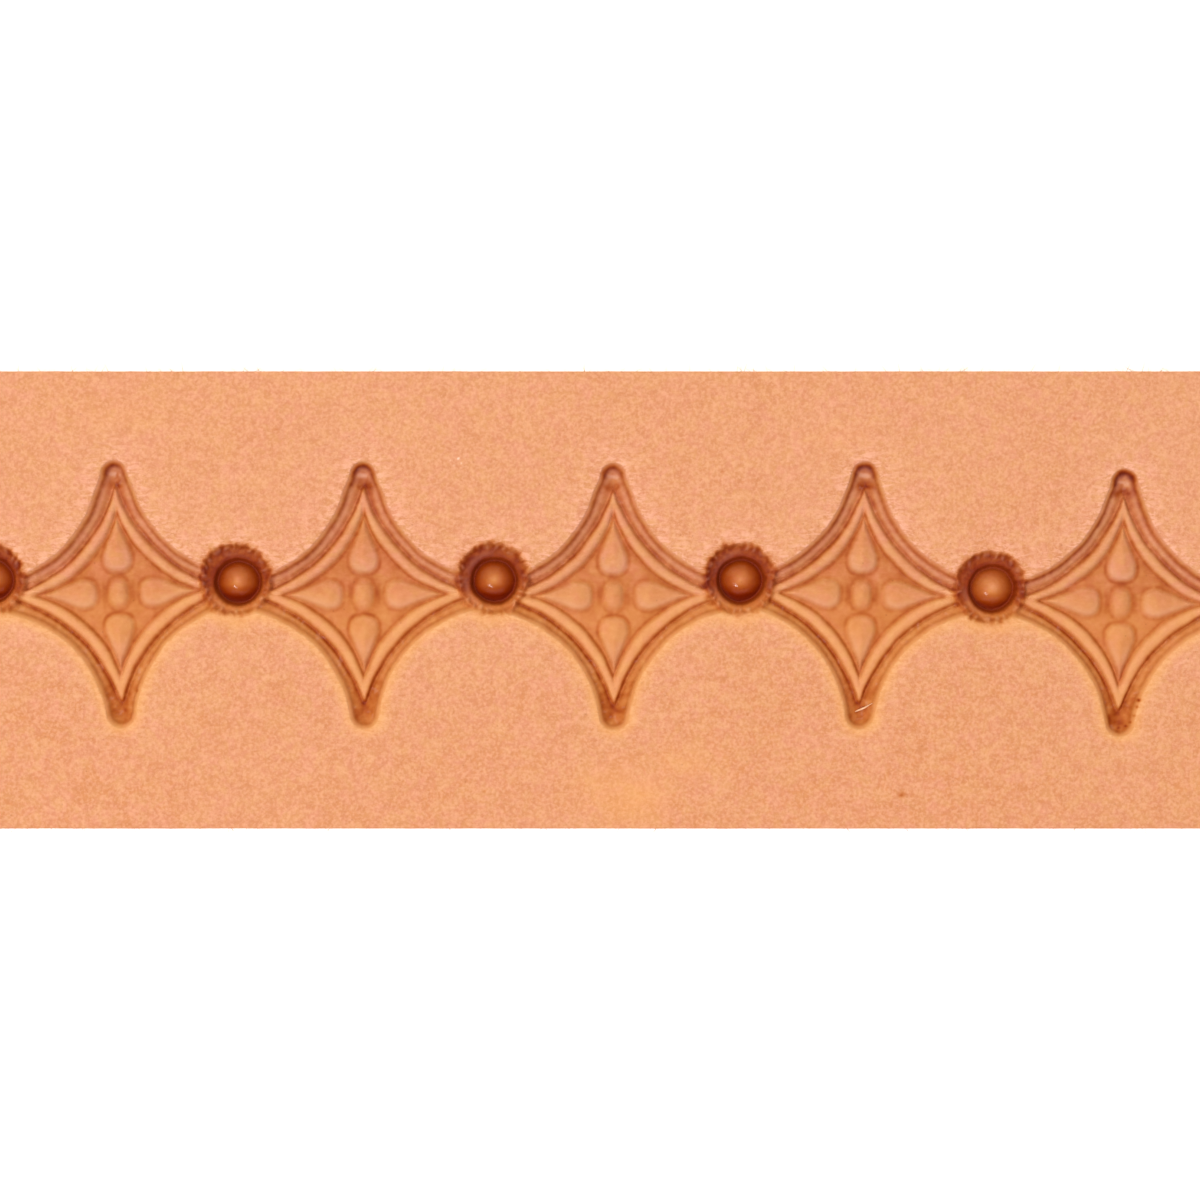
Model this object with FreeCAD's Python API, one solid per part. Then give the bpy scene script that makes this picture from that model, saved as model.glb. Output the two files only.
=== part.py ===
"""A strip of vegetable tanned leather with a border stamped into its grain side.

Five star shaped impressions stand in a row along the strip, and a round berry
impression sits over the side tips of each pair of neighbours.

Frame, millimetres: X runs along the strip, Y across it, Z up out of the grain.
The origin is the centre of the strip's back, so the back lies on Z = 0.
"""
import FreeCAD
import Part
import math
import os

# ---- the strip ------------------------------------------------------------
STRIP_LENGTH = 104.0
STRIP_WIDTH = 33.3
STRIP_THICKNESS = 4.0
GRAIN_SHARE = 0.5               # part of the thickness in the grain side
BACK_CHAMFER = 0.35             # cut corners of the back

# ---- the star stamp ---------------------------------------------------------
STAR_TIP = 9.53                 # centre to tip, half of a 3/4 inch face
STAR_WAIST = 4.87               # centre to the hollow side, on the diagonal
TIP_ROUNDING = 0.80
WALL_BEVEL = 0.15               # how far the steep upper wall leans in
SHOULDER_DEPTH = 0.35
FLOOR_DEPTH = 0.90
FOOT_TIP = 7.72                 # outer foot of the raised border
FOOT_WAIST = 4.15
BORDER_SLOPE = 0.45             # how far each flank of the border leans
BORDER_WIDTH = 0.42             # flat top of the border
BORDER_DEPTH = 0.40             # its top, below the grain
FIELD_DEPTH = 0.75              # the sunk field inside the border

# ---- petals and boss in the field -------------------------------------------
PETAL_COUNT = 4
PETAL_CENTRE = 2.60             # star centre to the centre of the round end
PETAL_RADIUS = 1.08
PETAL_POINT = 5.45              # star centre to the petal's point
PETAL_DEPTH = 0.42
BOSS_HALF_WIDTH = 0.74
BOSS_HALF_HEIGHT = 1.05
BOSS_DEPTH = 0.45

# ---- the berry stamp --------------------------------------------------------
BERRY_RADIUS = 2.52             # outer edge of the bead ring
RIM_DEPTH = 0.30                # leather left standing at the bead ring
LEDGE_DEPTH = 0.60              # floor under the beads
BOWL_RADIUS = 1.75
BOWL_DEPTH = 1.30
BOWL_BEVEL = 0.18
DOME_RADIUS = 1.46              # radius of the dome at the bowl's floor
DOME_DEPTH = 0.60               # top of the dome, below the grain
BEAD_COUNT = 24
BEAD_RADIUS = 0.27
BEAD_CIRCLE = 2.26
BOWL_DROP = 0.18                # the bowl sits this much lower than the ring

# ---- where the hand held stamps were struck: x, y, turn in degrees ----------
STARS = [
    (-36.2, 0.5, 1.9),
    (-18.3, 0.4, 0.4),
    (-0.1, 0.3, 0.3),
    (18.0, 0.4, -1.4),
    (36.9, -0.2, -1.3),
]
BERRIES = [
    (-45.6, 1.5, 0.0),
    (-27.6, 1.55, 5.0),
    (-8.9, 1.55, 9.0),
    (9.1, 1.55, 3.0),
    (27.3, 0.85, 7.0),
    (46.1, 0.7, 2.0),
]

TOP = STRIP_THICKNESS
SPLIT = STRIP_THICKNESS * (1.0 - GRAIN_SHARE)
CLEAR = 1.0                     # how far the cutting solids rise over the grain
UP = FreeCAD.Vector(0, 0, 1)


def point(x, y, z=0.0):
    return FreeCAD.Vector(x, y, z)


def turned(shape, degrees):
    copy = shape.copy()
    copy.rotate(point(0, 0), UP, degrees)
    return copy


def placed(shape, spot):
    """A copy of a stamp's solid at one place in the row."""
    x, y, turn = spot
    copy = turned(shape, turn)
    copy.translate(point(x, y))
    return copy


def frustum(lower, upper):
    """The solid between two wires that have matching edges."""
    return Part.makeLoft([lower, upper], True, True)


# ---- outlines ---------------------------------------------------------------
def hollow_side(tip, waist, rounding):
    """Centre distance and radius of the circle of one hollow side.

    The circle is centred on the diagonal, passes through the waist and is
    tangent to the round tips.
    """
    tip_centre = tip - rounding
    reach = waist - rounding
    centre = (tip_centre ** 2 - reach ** 2) / (2 * (tip_centre - math.sqrt(2) * reach))
    radius = centre * math.sqrt(2) - waist
    return centre, radius


def star_wire(tip, waist, rounding, z):
    """A four pointed star with hollow sides, with round tips if rounding > 0."""
    centre, radius = hollow_side(tip, waist, rounding)
    tip_centre = tip - rounding
    share = rounding / (radius + rounding)
    start = point(tip_centre + (centre - tip_centre) * share, centre * share, z)
    end = point(start.y, start.x, z)
    middle = point(waist / math.sqrt(2), waist / math.sqrt(2), z)
    edges = []
    for quarter in range(4):
        side = Part.Arc(start, middle, end).toShape()
        edges.append(turned(side, 90 * quarter))
        if rounding > 0:
            cap = Part.Arc(end, point(0, tip, z), point(-end.x, end.y, z)).toShape()
            edges.append(turned(cap, 90 * quarter))
    return Part.Wire(edges)


def petal_wire(shrink, z):
    """A teardrop along +X, its round end towards the centre of the star."""
    radius = PETAL_RADIUS - shrink
    tip = PETAL_POINT - 2 * shrink
    lean = math.acos(radius / (tip - PETAL_CENTRE))
    upper = point(PETAL_CENTRE + radius * math.cos(lean), radius * math.sin(lean), z)
    lower = point(upper.x, -upper.y, z)
    end = point(tip, 0, z)
    edges = [
        Part.makeLine(end, upper),
        Part.Arc(upper, point(PETAL_CENTRE - radius, 0, z), lower).toShape(),
        Part.makeLine(lower, end),
    ]
    return Part.Wire(edges)


def boss_wire(shrink, z):
    """An ellipse at the centre of the star, longer in Y."""
    long_half = BOSS_HALF_HEIGHT - shrink
    short_half = BOSS_HALF_WIDTH - shrink
    ellipse = Part.Ellipse(point(0, long_half, z), point(-short_half, 0, z), point(0, 0, z))
    return Part.Wire([ellipse.toShape()])


# ---- the star impression ----------------------------------------------------
def star_hollow():
    """The whole hollow of the star, down to its floor."""
    rim = star_wire(STAR_TIP, STAR_WAIST, TIP_ROUNDING, TOP)
    tip = STAR_TIP - WALL_BEVEL
    waist = STAR_WAIST - WALL_BEVEL
    rounding = TIP_ROUNDING - WALL_BEVEL
    shoulder = star_wire(tip, waist, rounding, TOP - SHOULDER_DEPTH)
    run = waist - FOOT_WAIST
    floor = star_wire(tip - run, FOOT_WAIST, rounding - 0.5 * run, TOP - FLOOR_DEPTH)
    lid = star_wire(STAR_TIP, STAR_WAIST, TIP_ROUNDING, TOP + CLEAR)
    return frustum(rim, lid).fuse([frustum(shoulder, rim), frustum(floor, shoulder)])


def border_star(inset, z):
    """The border's outline, moved in from its outer foot by an inset."""
    pointed = FOOT_TIP / FOOT_WAIST
    return star_wire(FOOT_TIP - inset * pointed, FOOT_WAIST - inset, 0.0, z)


def rounded_block(section, height_low, height_high, spread):
    """A raised block with a steep foot and a flatter top, from shrinking sections."""
    shoulder = height_low + 0.65 * (height_high - height_low)
    foot = frustum(section(0.0, height_low), section(0.35 * spread, shoulder))
    crown = frustum(section(0.35 * spread, shoulder), section(spread, height_high))
    return foot.fuse(crown)


def star_relief():
    """What stands up from the star's floor: border, petals and boss."""
    border_top = TOP - BORDER_DEPTH
    field = TOP - FIELD_DEPTH
    inner = BORDER_SLOPE + BORDER_WIDTH
    body = frustum(border_star(0.0, TOP - FLOOR_DEPTH), border_star(BORDER_SLOPE, border_top))
    pit = frustum(border_star(inner + BORDER_SLOPE, field), border_star(inner, border_top))
    shaft = frustum(border_star(inner, border_top), border_star(inner, TOP + CLEAR))
    relief = body.cut([pit, shaft])
    petal = rounded_block(petal_wire, field, TOP - PETAL_DEPTH, 0.55)
    raised = [rounded_block(boss_wire, field, TOP - BOSS_DEPTH, 0.45)]
    for quarter in range(PETAL_COUNT):
        raised.append(turned(petal, 360.0 / PETAL_COUNT * quarter))
    return relief.fuse(raised)


def star_cutter():
    return star_hollow().cut(star_relief())


# ---- the berry impression ---------------------------------------------------
def berry_plug():
    """Leather that the berry stamp pushes back over the star's side tips."""
    height = TOP - RIM_DEPTH - SPLIT
    return Part.makeCylinder(BERRY_RADIUS, height, point(0, 0, SPLIT))


def berry_cutter():
    """The berry's hollow: a ledge ringed with beads, and a bowl with a dome."""
    ledge = Part.makeCylinder(BERRY_RADIUS, LEDGE_DEPTH + CLEAR, point(0, 0, TOP - LEDGE_DEPTH))
    beads = []
    for index in range(BEAD_COUNT):
        turn = 2 * math.pi * index / BEAD_COUNT
        spot = point(BEAD_CIRCLE * math.cos(turn), BEAD_CIRCLE * math.sin(turn), TOP - LEDGE_DEPTH)
        beads.append(Part.makeSphere(BEAD_RADIUS, spot))
    depth = BOWL_DEPTH - LEDGE_DEPTH
    drop = point(0, -BOWL_DROP, TOP - BOWL_DEPTH)
    bowl = Part.makeCone(BOWL_RADIUS - BOWL_BEVEL, BOWL_RADIUS, depth, drop)
    rise = BOWL_DEPTH - DOME_DEPTH
    ball_radius = (DOME_RADIUS ** 2 + rise ** 2) / (2 * rise)
    ball_centre = point(0, -BOWL_DROP, TOP - DOME_DEPTH - ball_radius)
    dome = Part.makeSphere(ball_radius, ball_centre)
    return ledge.cut(beads).fuse(bowl).cut(dome)


# ---- the two sides of the hide ----------------------------------------------
def grain_side():
    """The firm upper side of the hide, which takes the stamps."""
    corner = point(-STRIP_LENGTH / 2, -STRIP_WIDTH / 2, SPLIT)
    slab = Part.makeBox(STRIP_LENGTH, STRIP_WIDTH, TOP - SPLIT, corner)
    star = star_cutter()
    plug = berry_plug()
    berry = berry_cutter()
    slab = slab.cut([placed(star, spot) for spot in STARS])
    slab = slab.fuse([placed(plug, spot) for spot in BERRIES])
    slab = slab.cut([placed(berry, spot) for spot in BERRIES])
    return slab.removeSplitter()


def flesh_side():
    """The fibrous lower side of the hide, with the corners of its back cut off."""
    corner = point(-STRIP_LENGTH / 2, -STRIP_WIDTH / 2, 0)
    slab = Part.makeBox(STRIP_LENGTH, STRIP_WIDTH, SPLIT, corner)
    back = [edge for edge in slab.Edges if edge.BoundBox.ZMax < 0.5 * SPLIT]
    return slab.makeChamfer(BACK_CHAMFER, back)


def write(name, shape):
    solids = shape.Solids
    if len(solids) != 1 or not solids[0].isValid():
        raise ValueError(name + " isn't one valid solid")
    solids[0].exportStep("parts/" + name + ".step")
    print(name, "volume", round(solids[0].Volume, 2), "faces", len(solids[0].Faces))


os.makedirs("parts", exist_ok=True)
write("grain_side", grain_side())
write("flesh_side", flesh_side())
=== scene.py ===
"""The looks of a stamped strip of natural tan leather.

The strip lies flat on a pale floor, lit softly from the far side and seen from
straight above. Its grain side is one mesh whose relief is worked out as a height
map in millimetres: five star impressions in a row, with a berry impression struck
over the side tips of each pair. The cut edges and the back are fibrous.
"""
import math

import bpy
import numpy as np
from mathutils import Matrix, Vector


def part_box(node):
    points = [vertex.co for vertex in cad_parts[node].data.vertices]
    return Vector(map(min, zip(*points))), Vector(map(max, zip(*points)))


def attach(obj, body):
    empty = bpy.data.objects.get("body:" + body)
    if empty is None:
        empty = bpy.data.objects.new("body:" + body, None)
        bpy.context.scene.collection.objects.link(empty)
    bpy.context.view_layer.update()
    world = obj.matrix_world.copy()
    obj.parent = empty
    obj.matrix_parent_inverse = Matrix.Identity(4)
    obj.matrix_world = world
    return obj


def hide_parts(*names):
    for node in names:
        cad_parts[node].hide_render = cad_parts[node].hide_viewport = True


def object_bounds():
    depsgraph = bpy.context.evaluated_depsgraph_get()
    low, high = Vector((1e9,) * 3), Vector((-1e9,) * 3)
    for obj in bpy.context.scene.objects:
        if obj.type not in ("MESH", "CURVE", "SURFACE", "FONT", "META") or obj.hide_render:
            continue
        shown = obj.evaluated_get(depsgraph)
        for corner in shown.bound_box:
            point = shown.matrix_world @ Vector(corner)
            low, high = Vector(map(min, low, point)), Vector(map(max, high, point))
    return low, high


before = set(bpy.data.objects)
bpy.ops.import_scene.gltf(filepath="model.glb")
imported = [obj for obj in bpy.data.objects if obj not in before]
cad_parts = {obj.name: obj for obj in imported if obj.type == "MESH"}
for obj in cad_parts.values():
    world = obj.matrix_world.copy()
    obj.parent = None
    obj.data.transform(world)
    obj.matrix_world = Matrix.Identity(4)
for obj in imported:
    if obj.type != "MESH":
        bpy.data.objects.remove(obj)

CAD_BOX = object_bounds()

MM = 0.001
ROOT2 = math.sqrt(2)

# ---- the strip, in millimetres, from the frame ----
HALF_LENGTH = CAD_BOX[1].x / MM
HALF_WIDTH = CAD_BOX[1].y / MM
TOP = CAD_BOX[1].z / MM
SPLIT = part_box("grain_side")[0].z / MM

# ---- meshing, in millimetres ----
MAP_STEP = 0.05  # spacing of the height map
EDGE_INSET = 0.12  # where the rounded cut edge begins
CELL = 0.4  # plain leather's mesh
FINE = 5  # a cell near an impression is split 5 by 5
FINE_MARGIN = 0.45  # how far round an impression the mesh is fine

# ---- where the stamps were struck: x, y, turn in degrees, force, how dark its tips are
STARS = [
    (-36.2, 0.5, 1.9, 1.02, 0.95),
    (-18.3, 0.4, 0.4, 0.96, 1.15),
    (-0.1, 0.3, 0.3, 1.0, 0.95),
    (18.0, 0.4, -1.4, 1.0, 1.35),
    (36.9, -0.19, -1.3, 1.0, 2.10),
]

# ---- x, y, turn, how far the bowl slid from the ring, and how dark it burnished, which also scales the painted shade on its dome
BERRIES = [
    (-45.6, 1.5, 0.0, 0.12, -0.10, 1.10),
    (-27.64, 1.46, 5.0, 0.16, -0.15, 1.12),
    (-8.9, 1.55, 9.0, 0.10, -0.16, 1.15),
    (9.1, 1.55, 3.0, 0.10, -0.16, 1.15),
    (27.34, 0.87, 7.0, 0.20, -0.05, 0.92),
    (46.1, 0.7, 2.0, 0.10, -0.10, 1.00),
]

# ---- nested outlines of the star stamp, from the lip inwards:
#      tip, rounding of the tip, waist, height, how hard the leather is burnished
STAR_LEVELS = [
    (9.82, 1.09, 5.16, 0.00, 0.00),
    (9.56, 0.83, 4.90, -0.16, 0.40),
    (9.48, 0.75, 4.82, -0.34, 0.78),
    (9.34, 0.61, 4.68, -0.48, 0.54),
    (9.08, 0.38, 4.48, -0.58, 0.38),
    (8.20, 0.14, 4.38, -0.74, 0.62),
    (7.94, 0.03, 4.27, -0.82, 1.42),
    (7.84, 0.10, 4.19, -0.80, 1.28),
    (7.62, 0.10, 4.04, -0.54, 0.40),
    (7.38, 0.08, 3.88, -0.43, 0.08),
    (7.02, 0.05, 3.66, -0.39, 0.00),
    (6.58, 0.02, 3.46, -0.43, 0.04),
    (6.22, 0.00, 3.29, -0.55, 0.30),
    (5.94, 0.00, 3.13, -0.76, 1.22),
    (5.70, 0.00, 2.97, -0.70, 0.66),
    (5.20, 0.00, 2.64, -0.65, 0.50),
]
LIP_LEVELS = 4  # how many of the levels shape the lip
BORDER_LEVEL = 5  # the first level of the raised border
FOOT_LEVEL = 6  # the border's outer foot
FIELD_LEVEL = 10  # the first level inside the border's crest
STAR_REACH = 13.0  # half the window that one star is worked out over

PETAL_CENTRE = 2.60
PETAL_RADIUS = 1.10
PETAL_POINT = 5.80
PETAL_STEP = 0.19  # the steep edge of a petal, then its gentle crown
PETAL_CROWN = 0.24
BOSS_HALF_WIDTH = 0.74
BOSS_HALF_HEIGHT = 1.08
SQUARENESS = 2.6  # 2 would be round

# ---- the berry stamp: radius, height, burnish ----
RING_LEVELS = [
    (3.18, 0.00, 0.00),
    (2.76, -0.08, 0.40),
    (2.52, -0.26, 1.15),
    (2.30, -0.46, 1.50),
    (2.02, -0.52, 1.26),
    (1.84, -0.60, 1.60),
]
RING_EDGE = 2.62
BEAD_COUNT = 24
BEAD_CIRCLE = 2.30
BEAD_RISE = 0.15
BOWL_RADIUS = 1.80
BOWL_WALL = 0.24
BOWL_DEPTH = 1.30
BOWL_BURN = 2.5
DOME_RADIUS = 1.54
DOME_TOP = 0.60
DOME_SLIP = 0.10
BERRY_SINK = 0.08  # the whole berry lies this much lower than plain grain
BERRY_REACH = 6.0  # half the window that one berry is worked out over
FINISH_AND_LIGHT_MAPS = ("crinkle_and_sheen", "warmth_and_painted_light", "painted_sheen", "shine", "scuff")
FAR = 9.0  # stands for no impression near by
SPECK_SIZE = 0.5  # a stain smaller than this gets the fine mesh

# ---- darker patches and specks: x, y, half sizes, burnish; and pale scuffs: x, y, radius
STAINS = [
    (20.90, -14.15, 0.24, 0.20, 0.85),
    (20.78, -14.22, 0.09, 0.08, 0.50),
    (38.12, -7.30, 0.11, 0.10, 2.4),
    (37.98, -7.78, 0.09, 0.08, 2.0),
    (37.78, -8.42, 0.08, 0.07, 2.0),
    (37.52, -8.90, 0.07, 0.06, 2.0),
    (37.22, -9.18, 0.08, 0.06, 1.8),
    (36.72, -9.32, 0.09, 0.07, 1.4),
    (-34.80, -6.60, 0.06, 0.11, 1.0),
    (-9.5, -13.9, 0.10, 0.09, 0.55),
    (-24.6, 12.4, 0.10, 0.08, 0.50),
    (7.8, 9.3, 0.10, 0.12, 0.45),
    (33.4, 13.2, 0.12, 0.09, 0.50),
    (-41.3, -11.6, 0.12, 0.09, 0.50),
    (-24.3, -6.9, 0.9, 0.7, 0.12),
]
WARM_PATCHES = [
    (0.6, -14.2, 3.0, 2.0, 0.95),
    (5.2, -11.8, 2.6, 1.4, 0.46),
    (16.2, 11.9, 2.2, 0.9, 0.34),
    (-36.0, 13.6, 3.6, 1.2, 0.22),
    (44.0, -13.2, 3.0, 1.6, 0.30),
]
SCUFFS = [
    (-11.40, 10.30, 0.07),
    (-11.15, 9.95, 0.05),
    (-11.70, 9.80, 0.04),
    (-10.90, 10.45, 0.04),
    (-11.35, 9.40, 0.04),
    (-11.95, 10.15, 0.03),
]

REACH_X = HALF_LENGTH - EDGE_INSET
REACH_Y = HALF_WIDTH - EDGE_INSET
GRAIN_DROP = 0.03  # plain grain lies this far under the CAD top
BACK_NAP = 0.06  # depth of the rough back
GRAIN_ROUNDING = 0.12  # height of the rounded corners of the cut edge
BACK_ROUNDING = 0.30
EDGE_STEPS = 9  # steps from the rounded corner to the middle of the edge
SEAM_STEP = 0.012  # last step of a cut edge, which keeps its shading even
NAP_FIBRES = 900
NAP_RADIUS = 0.018
NAP_ROOT = 0.08  # loose fibres start this far inside the cut edge
STRAY_START = (17.52, -8.15)  # the two ends of the stray fibre
STRAY_END = (18.75, -7.52)

# ---- colours, linear ----
PLAIN = (0.614, 0.286, 0.146)
PLAIN_WARM = (0.566, 0.230, 0.091)
PLAIN_DEEP = (0.500, 0.192, 0.078)
PLAIN_PALE = (0.745, 0.390, 0.235)
PLAIN_PINK = (0.642, 0.272, 0.171)
PLAIN_GOLD = (0.618, 0.304, 0.130)
# the warm colour of warm patches, and of painted light below the stamps
WARMTH_AND_PAINTED_LIGHT = (0.690, 0.330, 0.108)
# the paleness of painted sheen on crinkled grain, within the warm and lit places
WARM_FROST_SHEEN = (0.770, 0.440, 0.215)
# the pink of the painted sheen and highlights
PAINTED_SHEEN_COLOUR = (0.620, 0.365, 0.300)
# the paleness of painted sheen on crinkled grain
FROST_SHEEN = (0.790, 0.420, 0.300)
SCUFF = (0.840, 0.620, 0.470)
BURN_LOSS = (0.38, 0.85, 1.56)  # what one unit of burnish takes off each logarithm
BURN_BEND = (0.03, 0.07, 0.12)  # and what its square takes
BURN_MAX = 3.2
BURN_STEPS = 16
CUT_DARK = (0.450, 0.225, 0.110)
CUT_PALE = (0.640, 0.375, 0.215)
SUEDE_DARK = (0.46, 0.28, 0.16)
SUEDE_PALE = (0.70, 0.50, 0.33)
FLOOR = (0.93, 0.93, 0.92)
GRAIN_RELIEF = 0.028  # millimetres of pebble for one unit of bump height
CUT_RELIEF = 1.6  # bump height of the cut fibres
FIBRE_DARK = (0.62, 0.31, 0.17)
FIBRE_PALE = (0.80, 0.50, 0.30)

# ---- light and camera ----
WORLD_STRENGTH = 0.435
TOP_POWER = 4.3
KEY_POWER = 4.2
FILL_POWER = 2.8
SHEEN_POWER = 0.9
FLOOR_GLOW = 0.40
LENS = 100.0
SENSOR = 36.0
VIEW_WIDTH = 87.25
VIEW_X = -1.09


# ==== Noise and smoothing on arrays ====
def smooth(value):
    value = np.clip(value, 0.0, 1.0)
    return value * value * (3.0 - 2.0 * value)


def noise(x, y, cell, seed):
    """Smooth random values from -1 to 1, with bumps about one cell across."""
    table = np.random.default_rng(seed).uniform(-1.0, 1.0, (256, 256))
    u = np.asarray(x) / cell
    v = np.asarray(y) / cell
    column = np.floor(u).astype(int)
    row = np.floor(v).astype(int)
    s = smooth(u - column)
    t = smooth(v - row)
    left = column & 255
    right = (column + 1) & 255
    low = row & 255
    high = (row + 1) & 255
    bottom = table[low, left] * (1 - s) + table[low, right] * s
    upper = table[high, left] * (1 - s) + table[high, right] * s
    return bottom * (1 - t) + upper * t


def fractal(x, y, cell, seed, octaves=3):
    total = 0.0
    weight = 1.0
    for octave in range(octaves):
        total = total + weight * noise(x, y, cell / 2 ** octave, seed + octave)
        weight *= 0.5
    return total


def blurred(field, sigma):
    """Gaussian blur of a map, with sigma in map steps."""
    reach = int(math.ceil(3 * sigma))
    taps = np.exp(-0.5 * (np.arange(-reach, reach + 1) / sigma) ** 2)
    taps = taps / taps.sum()
    for axis in (0, 1):
        padding = [(0, 0), (0, 0)]
        padding[axis] = (reach, reach)
        padded = np.pad(field, padding, mode="edge")
        size = field.shape[axis]
        result = np.zeros_like(field)
        for index, tap in enumerate(taps):
            window = [slice(None), slice(None)]
            window[axis] = slice(index, index + size)
            result += tap * padded[tuple(window)]
        field = result
    return field


def bell(value, centre, width):
    """1 at the centre, fading away on both sides over about two widths."""
    return np.exp(-((value - centre) / width) ** 2)


def rise(value, start, run):
    """0 up to the start, then smoothly up to 1 over the run."""
    return smooth((value - start) / run)


# ==== The height map ====
def star_distance(u, v, tip, rounding, waist):
    """Distance inside a hollow sided star, for folded coordinates u <= v."""
    tip_centre = tip - rounding
    reach = waist - rounding
    centre = (tip_centre ** 2 - reach ** 2) / (2 * (tip_centre - ROOT2 * reach))
    radius = centre * ROOT2 - waist
    side = np.hypot(u - centre, v - centre) - radius
    cap = rounding - np.hypot(u, v - tip_centre)
    past = (v - tip_centre) * centre > (centre - tip_centre) * u
    return np.where(past, cap, side)


def petal_distance(along, across):
    """Distance inside a teardrop whose point lies outwards."""
    length = PETAL_POINT - PETAL_CENTRE
    sine = PETAL_RADIUS / length
    cosine = math.sqrt(1 - sine * sine)
    a = along - PETAL_CENTRE
    b = np.abs(across)
    power = np.where(a < 0, SQUARENESS, 2.0)
    disc = PETAL_RADIUS - (np.abs(a) ** power + b ** power) ** (1 / power)
    flank = PETAL_RADIUS - (a * sine + b * cosine)
    on_flank = a * cosine > b * sine
    return np.where(on_flank, flank, disc)


class StarStrike:
    """One strike of the star stamp, worked out over a window of the strip.

    px and py are places in the stamp's own turned frame, u and v the same folded
    into one eighth of the star. height and the burnish map, which also holds painted
    shade, are built up step by step. A soft line is given as its centre and its half
    width, in millimetres.
    """

    HALF_BLEND = 2.0  # over which the lower and the upper half blend
    TIP_BLEND = 4.0
    WOBBLE = 0.045  # unevenness of every outline
    BORDER_OUT = 0.08  # the lower half's border stands this much further out
    LIP_SWELL = 0.09  # the upper half's lip is this much wider
    TIP_SHRINK = 0.20  # and this much narrower again at the tip
    SHADE_SHIFT_LOWER = 0.09  # painted shade: the border's burnish is shifted sideways, one way on each half, as light from the upper left shades it
    SHADE_SHIFT_UPPER = -0.08
    BASE_BURN = 0.12
    RIM = (0.02, 0.20)
    PETAL_LINE = (-0.09, 0.11)
    # the painted gleam of light along the petals' lower sides
    PETAL_GLEAM = (0.34, 0.26)
    BOSS_LINE = (-0.11, 0.11)
    BOSS_SIDE = (1.04, 0.20)
    TIP_RING = (0.09, 0.22)
    # the painted highlight on the floor of the upper tip
    TIP_HIGHLIGHT = (8.68, 0.20)
    BESIDE_BORDER = (-0.10, 0.26)
    # the painted sheen along the upper groove
    GROOVE_SHEEN = (0.34, 0.16)
    BORDER_FOOT = (-0.02, 0.22)
    TIP_MOUTH = (7.90, 0.32, 0.80)
    LOWER_TIP_SPOT = (8.45, 0.42, 0.60)
    LOWER_FIELD_SPOT = (4.95, 0.60, 0.40)
    TIP_PIT = (8.75, 0.38, 0.38)
    PIT_DEPTH = 0.10
    DIP = 0.12  # how far the leather round the star is drawn down
    DIP_REACH = 1.1

    def __init__(self, x, y, spot):
        cx, cy, turn, self.force, self.ring = spot
        angle = math.radians(turn)
        self.x = x
        self.y = y
        self.px = (x - cx) * math.cos(angle) + (y - cy) * math.sin(angle)
        self.py = (y - cy) * math.cos(angle) - (x - cx) * math.sin(angle)
        self.u = np.minimum(np.abs(self.px), np.abs(self.py))
        self.v = np.maximum(np.abs(self.px), np.abs(self.py))
        self.lower_half = smooth(0.5 - self.py / self.HALF_BLEND)
        self.upper_tip = smooth(self.py / self.TIP_BLEND)
        self.lower_tip = smooth(-self.py / self.TIP_BLEND)
        self.rough = 1.0 + 0.60 * fractal(x, y, 0.5, 59)
        self.press()
        self.darken_rim()
        self.raise_petals()
        self.raise_boss()
        self.darken_upper_tip()
        self.darken_groove()
        self.darken_lower_tip()
        self.vary_burnish_and_shade()

    def level_distances(self, u, v):
        """Distance inside each level's outline, with the lower border set outwards."""
        wobble = self.WOBBLE * fractal(self.x, self.y, 1.6, 11)
        inside = [star_distance(u, v, *level[:3]) + wobble for level in STAR_LEVELS]
        for index in range(BORDER_LEVEL, FIELD_LEVEL):
            inside[index] = inside[index] + self.BORDER_OUT * self.lower_half
        return inside

    def stepped(self, distances, column):
        """The levels' values from one column, blended from each level to the next."""
        total = np.zeros_like(self.x)
        for index in range(len(STAR_LEVELS) - 1):
            gap = np.maximum(distances[index] - distances[index + 1], 1e-6)
            share = np.clip(distances[index] / gap, 0.0, 1.0)
            total += share * (STAR_LEVELS[index + 1][column] - STAR_LEVELS[index][column])
        return total

    def press(self):
        """The stamp's own levels: their height, and their burnish, shifted sideways on each half as painted
        shade.
        """
        lower_half = self.lower_half
        inside = self.level_distances(self.u, self.v)
        swell = self.LIP_SWELL - self.TIP_SHRINK * rise(self.v, 7.2, 1.8)
        for index in range(LIP_LEVELS):
            inside[index] = inside[index] + swell * (1 - lower_half)
        # painted shade: the border levels' burnish is taken from a place shifted sideways
        shade_shifted_px = self.px + self.SHADE_SHIFT_LOWER * lower_half + self.SHADE_SHIFT_UPPER * (1 - lower_half)
        shade_shifted_u = np.minimum(np.abs(shade_shifted_px), np.abs(self.py))
        shade_shifted_v = np.maximum(np.abs(shade_shifted_px), np.abs(self.py))
        shade_shifted_levels = inside[:BORDER_LEVEL] + self.level_distances(shade_shifted_u, shade_shifted_v)[BORDER_LEVEL:]
        self.inside = inside
        self.height = self.stepped(inside, 3)
        self.burnish_and_shade = self.stepped(shade_shifted_levels, 4)
        self.burnish_and_shade += self.BASE_BURN

    def spot(self, shape, power=2):
        """A soft spot in line with each tip: its place, half length and half width."""
        place, length, width = shape
        return np.exp(-((self.v - place) / length) ** 2 - (self.u / width) ** power)

    def darken_rim(self):
        rim = bell(self.inside[2], *self.RIM)
        # painted shade: the rim is darker on the upper half, more so on the left, and paler on the lower half
        upper = 0.22 + 0.40 * (self.ring - 1.0) - 0.16 * np.tanh(self.px / 2.0)
        self.burnish_and_shade *= 1.0 + rim * (1 - self.lower_half) * upper
        self.burnish_and_shade *= 1.0 - 0.22 * rim * self.lower_half

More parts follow.
